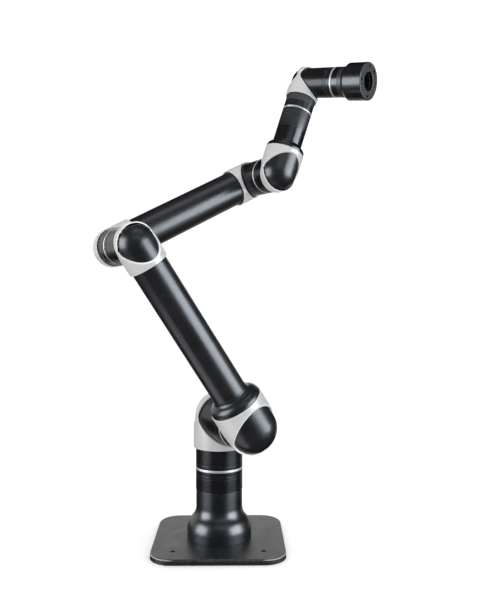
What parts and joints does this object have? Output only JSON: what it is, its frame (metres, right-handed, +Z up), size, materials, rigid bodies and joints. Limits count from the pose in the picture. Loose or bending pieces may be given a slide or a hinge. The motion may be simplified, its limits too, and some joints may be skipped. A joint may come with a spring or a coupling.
{
  "type": "six-axis robot arm",
  "caption": "Articulated collaborative robot arm on a square mounting plate, with mitred silver joint casings, domed black caps, black tubes and a bolt-circle tool flange.",
  "frame": {"origin": "centre of the mounting plate's underside, on the base joint's axis", "axes": "+Z up along the base joint's axis, +X and +Y parallel to the plate's sides, -Y towards the side that the arm is usually seen from"},
  "size_m": [0.4831, 0.3592, 0.8698],
  "materials": {
    "plate_black": "satin black powder coat",
    "anodised_black": "satin black anodised",
    "casing_silver": "satin light grey enamel",
    "cap_black": "satin black moulded",
    "seal_ring_steel": "turned bright",
    "screw_steel": "blackened",
    "socket_nickel": "nickel plated",
    "winding_copper": "enamelled copper windings",
    "gear_steel": "ground steel",
    "rotor_steel": "turned steel with magnets"
  },
  "bodies": {
    "base": {"mounting_plate": "plate_black", "base_housing": "anodised_black", "base_screws": "screw_steel", "power_socket": "socket_nickel", "base_servo_housing": "anodised_black", "base_servo_stator": "winding_copper", "base_servo_gear": "gear_steel"},
    "shoulder": {"base_servo_ring": "seal_ring_steel", "base_servo_output": "anodised_black", "shoulder_casing": "casing_silver", "shoulder_cap": "cap_black", "shoulder_servo_housing": "anodised_black", "shoulder_servo_stator": "winding_copper", "shoulder_servo_gear": "gear_steel"},
    "upper_arm": {"shoulder_servo_ring": "seal_ring_steel", "shoulder_servo_output": "anodised_black", "upper_arm_base_casing": "casing_silver", "upper_arm_base_cap": "cap_black", "upper_arm_socket": "anodised_black", "upper_arm_tube": "anodised_black", "upper_arm_elbow_casing": "casing_silver", "upper_arm_elbow_cap": "cap_black", "elbow_servo_housing": "anodised_black", "elbow_servo_stator": "winding_copper", "elbow_servo_gear": "gear_steel"},
    "forearm": {"elbow_servo_ring": "seal_ring_steel", "elbow_servo_output": "anodised_black", "forearm_elbow_casing": "casing_silver", "forearm_elbow_cap": "cap_black", "forearm_tube": "anodised_black", "forearm_wrist_casing": "casing_silver", "forearm_wrist_cap": "cap_black", "wrist_1_servo_housing": "anodised_black", "wrist_1_servo_stator": "winding_copper", "wrist_1_servo_gear": "gear_steel"},
    "wrist_1": {"wrist_1_servo_ring": "seal_ring_steel", "wrist_1_servo_output": "anodised_black", "wrist_1_casing": "casing_silver", "wrist_1_cap": "cap_black", "wrist_1_collar": "anodised_black", "wrist_2_servo_housing": "anodised_black", "wrist_2_servo_stator": "winding_copper", "wrist_2_servo_gear": "gear_steel"},
    "wrist_2": {"wrist_2_servo_ring": "seal_ring_steel", "wrist_2_servo_output": "anodised_black", "wrist_2_casing": "casing_silver", "wrist_2_cap": "cap_black", "wrist_3_servo_housing": "anodised_black", "wrist_3_servo_stator": "winding_copper", "wrist_3_servo_gear": "gear_steel"},
    "tool": {"wrist_3_servo_ring": "seal_ring_steel", "tool_flange": "anodised_black"},
    "base_servo_rotor_body": {"base_servo_rotor": "rotor_steel"},
    "shoulder_servo_rotor_body": {"shoulder_servo_rotor": "rotor_steel"},
    "elbow_servo_rotor_body": {"elbow_servo_rotor": "rotor_steel"},
    "wrist_1_servo_rotor_body": {"wrist_1_servo_rotor": "rotor_steel"},
    "wrist_2_servo_rotor_body": {"wrist_2_servo_rotor": "rotor_steel"},
    "wrist_3_servo_rotor_body": {"wrist_3_servo_rotor": "rotor_steel"}
  },
  "joints": [
    {"name": "base_joint", "type": "hinge", "parent": "base", "child": "shoulder", "pos_m": [0, 0, 0], "axis": [0, 0, 1], "range_deg": [-360, 360]},
    {"name": "shoulder_joint", "type": "hinge", "parent": "shoulder", "child": "upper_arm", "pos_m": [0, 0, 0.233], "axis": [0.4863, -0.8738, 0], "range_deg": [-154, 85]},
    {"name": "elbow_joint", "type": "hinge", "parent": "upper_arm", "child": "forearm", "pos_m": [-0.12643, -0.20736, 0.54279], "axis": [-0.4863, 0.8738, 0], "range_deg": [-247, 52]},
    {"name": "wrist_1_joint", "type": "hinge", "parent": "forearm", "child": "wrist_1", "pos_m": [0.10496, -0.08166, 0.6758], "axis": [0.4863, -0.8738, 0], "range_deg": [-360, 360]},
    {"name": "wrist_2_joint", "type": "hinge", "parent": "wrist_1", "child": "wrist_2", "pos_m": [0.15725, -0.05256, 0.84024], "axis": [0.2988, 0.1663, 0.9397], "range_deg": [-360, 360]},
    {"name": "wrist_3_joint", "type": "hinge", "parent": "wrist_2", "child": "tool", "pos_m": [0.25553, -0.12699, 0.82216], "axis": [0.7887, -0.5974, -0.1451], "range_deg": [-360, 360]},
    {"name": "base_servo_rotor_spin", "type": "hinge", "parent": "base", "child": "base_servo_rotor_body", "pos_m": [0, 0, 0], "axis": [0, 0, 1], "range_deg": [-36000, 36000]},
    {"name": "shoulder_servo_rotor_spin", "type": "hinge", "parent": "shoulder", "child": "shoulder_servo_rotor_body", "pos_m": [0, 0, 0.233], "axis": [0.4863, -0.8738, 0], "range_deg": [-8500, 15400]},
    {"name": "elbow_servo_rotor_spin", "type": "hinge", "parent": "upper_arm", "child": "elbow_servo_rotor_body", "pos_m": [-0.12643, -0.20736, 0.54279], "axis": [-0.4863, 0.8738, 0], "range_deg": [-5200, 24700]},
    {"name": "wrist_1_servo_rotor_spin", "type": "hinge", "parent": "forearm", "child": "wrist_1_servo_rotor_body", "pos_m": [0.10496, -0.08166, 0.6758], "axis": [0.4863, -0.8738, 0], "range_deg": [-36000, 36000]},
    {"name": "wrist_2_servo_rotor_spin", "type": "hinge", "parent": "wrist_1", "child": "wrist_2_servo_rotor_body", "pos_m": [0.15725, -0.05256, 0.84024], "axis": [0.2988, 0.1663, 0.9397], "range_deg": [-36000, 36000]},
    {"name": "wrist_3_servo_rotor_spin", "type": "hinge", "parent": "wrist_2", "child": "wrist_3_servo_rotor_body", "pos_m": [0.25553, -0.12699, 0.82216], "axis": [0.7887, -0.5974, -0.1451], "range_deg": [-36000, 36000]}
  ],
  "couplings": [
    {"joint": "base_servo_rotor_spin", "follows": "base_joint", "ratio": -100},
    {"joint": "shoulder_servo_rotor_spin", "follows": "shoulder_joint", "ratio": -100},
    {"joint": "elbow_servo_rotor_spin", "follows": "elbow_joint", "ratio": -100},
    {"joint": "wrist_1_servo_rotor_spin", "follows": "wrist_1_joint", "ratio": -100},
    {"joint": "wrist_2_servo_rotor_spin", "follows": "wrist_2_joint", "ratio": -100},
    {"joint": "wrist_3_servo_rotor_spin", "follows": "wrist_3_joint", "ratio": -100}
  ]
}
